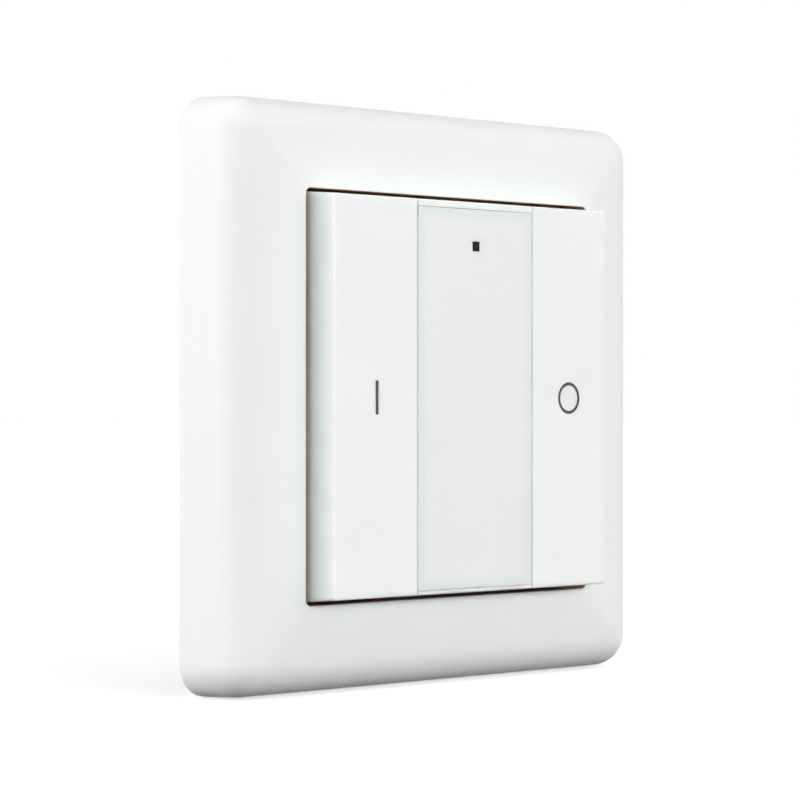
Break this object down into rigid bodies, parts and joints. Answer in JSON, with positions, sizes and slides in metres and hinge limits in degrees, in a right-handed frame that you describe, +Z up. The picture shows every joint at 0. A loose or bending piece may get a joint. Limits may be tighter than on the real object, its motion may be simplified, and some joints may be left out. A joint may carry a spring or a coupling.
{
  "type": "wireless remote wall switch",
  "caption": "Square wireless wall switch: rounded cover frame, rocking on and off keys either side of a clear label window with a status light, on a screw-fixed wall plate.",
  "frame": {"origin": "centre of the wall plate's back face, on the wall", "axes": "+X to the right and +Z up as seen from the front, +Y into the wall; the keys face -Y"},
  "size_m": [0.08, 0.016, 0.08],
  "materials": {
    "frame_plastic": "satin moulded",
    "key_plastic": "satin moulded",
    "clear_window": "polished",
    "label_paper": "matt",
    "smoked_guide": "polished",
    "chassis_plastic": "moulded",
    "screw_steel": "zinc plated",
    "board_laminate": "solder mask",
    "cell_steel": "nickel plated",
    "contact_metal": "tinned",
    "switch_plastic": "moulded",
    "lamp_resin": "cast",
    "ceramic": "fired",
    "antenna_wire": "bright"
  },
  "bodies": {
    "housing": {"cover_frame": "frame_plastic", "label_bar": "key_plastic", "label_window": "clear_window", "label_sheet": "label_paper", "light_guide": "smoked_guide", "mounting_plate": "chassis_plastic", "module_base": "chassis_plastic", "module_carrier": "chassis_plastic", "module_screws": "screw_steel", "circuit_board": "board_laminate", "coin_cell": "cell_steel", "battery_clip": "contact_metal", "battery_contact": "contact_metal", "left_switch": "switch_plastic", "right_switch": "switch_plastic", "left_switch_cover": "contact_metal", "right_switch_cover": "contact_metal", "status_led": "lamp_resin", "radio_shield": "contact_metal", "crystal": "contact_metal", "chip_capacitors": "ceramic", "antenna": "antenna_wire"},
    "left_key": {"left_key": "key_plastic"},
    "right_key": {"right_key": "key_plastic"},
    "left_plunger": {"left_plunger": "switch_plastic"},
    "right_plunger": {"right_plunger": "switch_plastic"}
  },
  "joints": [
    {"name": "left_key_press", "type": "hinge", "parent": "housing", "child": "left_key", "pos_m": [-0.01347, -0.0122, 0], "axis": [0, 0, -1], "range_deg": [0, 3.5], "stiffness_Nm_per_rad": 0.15, "springref_deg": -1.15},
    {"name": "right_key_press", "type": "hinge", "parent": "housing", "child": "right_key", "pos_m": [0.01347, -0.0122, 0], "axis": [0, 0, 1], "range_deg": [0, 3.5], "stiffness_Nm_per_rad": 0.15, "springref_deg": -1.15},
    {"name": "left_plunger_travel", "type": "slide", "parent": "housing", "child": "left_plunger", "axis": [0, 1, 0], "range_m": [0, 0.00035]},
    {"name": "right_plunger_travel", "type": "slide", "parent": "housing", "child": "right_plunger", "axis": [0, 1, 0], "range_m": [0, 0.00035]}
  ],
  "couplings": [
    {"joint": "left_plunger_travel", "follows": "left_key_press", "m_per_rad": 0.005717},
    {"joint": "right_plunger_travel", "follows": "right_key_press", "m_per_rad": 0.005717}
  ]
}
